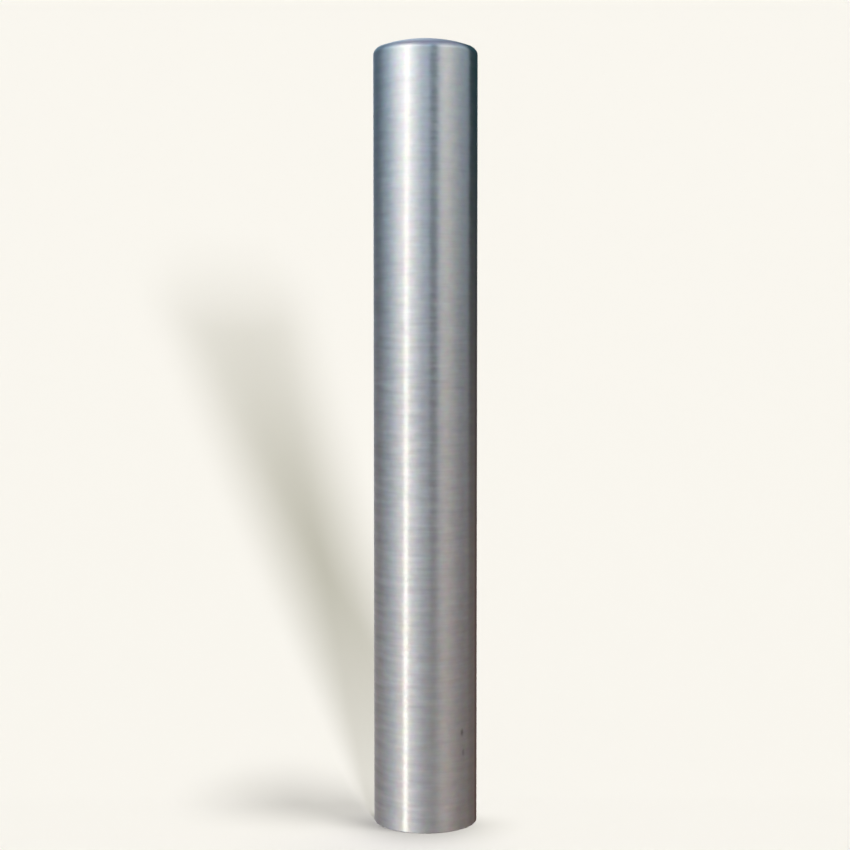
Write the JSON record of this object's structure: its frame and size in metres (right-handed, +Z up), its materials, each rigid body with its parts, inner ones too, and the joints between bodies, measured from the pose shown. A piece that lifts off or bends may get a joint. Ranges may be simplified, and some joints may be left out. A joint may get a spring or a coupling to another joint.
{
  "type": "steel security bollard",
  "caption": "Round brushed stainless steel post closed by a low domed cap, set upright on a pavement or forecourt to keep vehicles out.",
  "frame": {"origin": "centre of the cut foot at ground level, on the post's axis", "axes": "+Z up along the post's axis, towards the crown of the cap; the post is round, so +X and +Y are alike"},
  "size_m": [0.1412, 0.1412, 1.067],
  "materials": {
    "brushed_steel": "brushed round the post, satin",
    "weld_steel": "ground flush and brushed outside, as welded inside"
  },
  "bodies": {
    "root": {"post_tube": "brushed_steel", "domed_cap": "brushed_steel", "cap_weld": "weld_steel"}
  },
  "joints": []
}
